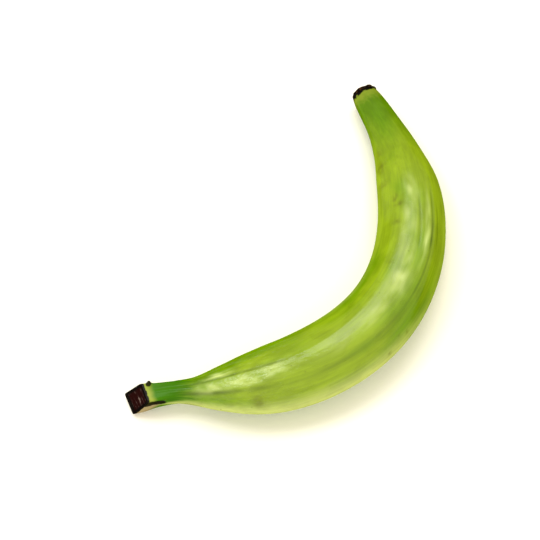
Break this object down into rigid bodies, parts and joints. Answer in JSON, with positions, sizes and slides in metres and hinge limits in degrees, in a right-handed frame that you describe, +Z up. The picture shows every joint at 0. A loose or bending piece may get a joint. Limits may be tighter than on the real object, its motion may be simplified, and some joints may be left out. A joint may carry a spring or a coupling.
{
  "type": "plantain",
  "caption": "Curved unripe cooking banana with blunt ridges, a slant-cut stem and a dried flower scar, lying on one flat side.",
  "frame": {"origin": "on the table under the middle of the fruit's outer box", "axes": "+X from the stem end to the tip along the chord of the bend, +Y towards the hollow of the bend, +Z up from the table"},
  "size_m": [0.2806, 0.1254, 0.0407],
  "materials": {
    "skin": "waxy unripe peel, yellow-green, satin",
    "cut_stem": "dark red-brown dried fibres of the cut stem",
    "flower_scar": "black dried flower scar"
  },
  "bodies": {
    "root": {"plantain": "skin"}
  },
  "joints": []
}
